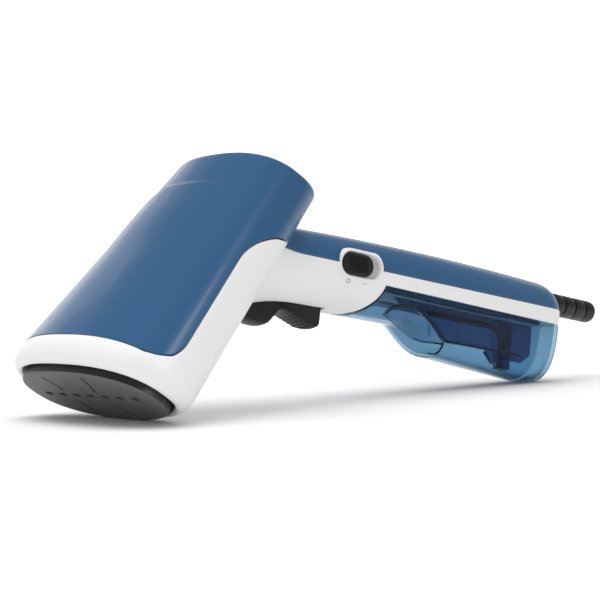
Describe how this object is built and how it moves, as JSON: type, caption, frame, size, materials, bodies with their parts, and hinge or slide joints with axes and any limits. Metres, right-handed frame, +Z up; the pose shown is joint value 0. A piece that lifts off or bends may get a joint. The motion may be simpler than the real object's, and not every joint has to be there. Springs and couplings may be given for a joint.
{
  "type": "handheld garment steamer",
  "caption": "Handheld garment steamer with a wide steam head, trigger handle, slide switch and removable clear water tank.",
  "frame": {"origin": "on the table under the middle of the steamer's bounding box, in its mirror plane, with the steamer resting on the plate's lower edge and the tank's bottom", "axes": "+X towards the side with the slide switch, +Y from the steam plate towards the cord, +Z up"},
  "size_m": [0.103, 0.3726, 0.1145],
  "materials": {
    "blue_gloss": "gloss",
    "white_satin": "satin",
    "black_plastic": "satin",
    "plate_coating": "satin",
    "tank_clear": "clear",
    "clear_tube": "satin",
    "aluminium": "cast",
    "steel": "bright",
    "brass": "bright",
    "silicone": "matte",
    "board_green": "satin",
    "red_wire": "satin",
    "blue_wire": "satin",
    "mica": "matte"
  },
  "bodies": {
    "steamer": {"head_top_cover": "blue_gloss", "handle_back_cover": "blue_gloss", "head_lower_body": "white_satin", "handle_front_shell": "white_satin", "steam_plate": "plate_coating", "plate_seal": "silicone", "steam_chamber": "aluminium", "chamber_gasket": "silicone", "chamber_lid": "aluminium", "chamber_screw_1": "steel", "chamber_screw_2": "steel", "chamber_screw_3": "steel", "chamber_screw_4": "steel", "heating_element": "steel", "water_nozzle": "brass", "thermostat": "steel", "thermal_fuse": "brass", "heat_shield": "mica", "head_screw_left": "steel", "head_screw_right": "steel", "handle_screw_1": "steel", "handle_screw_2": "steel", "power_switch": "black_plastic", "trigger_pin": "steel", "trigger_spring": "steel", "microswitch": "black_plastic", "pump_body": "clear_tube", "pump_coil": "brass", "pump_spring": "steel", "pump_cap": "clear_tube", "pump_inlet_hose": "clear_tube", "steam_feed_hose": "silicone", "spout_seal": "silicone", "spout_socket": "clear_tube", "control_board": "board_green", "board_relay": "black_plastic", "terminal_block": "clear_tube", "cord_clamp": "black_plastic", "power_cord": "black_plastic", "live_wire": "red_wire", "neutral_wire": "blue_wire", "heater_wire": "red_wire", "strain_relief": "black_plastic"},
    "trigger_lever": {"trigger": "black_plastic"},
    "microswitch_button": {"microswitch_button": "clear_tube"},
    "power_slider": {"switch_knob": "black_plastic", "switch_carrier": "black_plastic"},
    "pump_piston": {"pump_piston": "steel"},
    "water_tank": {"tank_body": "tank_clear", "tank_lid": "tank_clear", "tank_spout": "clear_tube", "suction_tube": "clear_tube", "suction_filter": "clear_tube"},
    "filler_flap": {"filler_flap": "tank_clear"}
  },
  "joints": [
    {"name": "trigger_squeeze", "type": "hinge", "parent": "steamer", "child": "trigger_lever", "pos_m": [0, -0.08527, 0.0556], "axis": [1, 0, 0], "range_deg": [0, 6]},
    {"name": "microswitch_press", "type": "slide", "parent": "steamer", "child": "microswitch_button", "axis": [0, 0.1471, 0.9891], "range_m": [0, 0.0013]},
    {"name": "power_slide", "type": "slide", "parent": "steamer", "child": "power_slider", "axis": [0, 0.9891, -0.1471], "range_m": [0, 0.006]},
    {"name": "pump_stroke", "type": "slide", "parent": "steamer", "child": "pump_piston", "axis": [0, 0.9891, -0.1471], "range_m": [0, 0.002]},
    {"name": "tank_release", "type": "slide", "parent": "steamer", "child": "water_tank", "axis": [0, 0.9865, -0.164], "range_m": [0, 0.185]},
    {"name": "filler_flap_open", "type": "hinge", "parent": "water_tank", "child": "filler_flap", "pos_m": [-0.01746, 0.07208, 0.02593], "axis": [0, -0.9891, 0.1471], "range_deg": [0, 90]}
  ],
  "couplings": [
    {"joint": "microswitch_press", "follows": "trigger_squeeze", "m_per_rad": 0.012}
  ]
}
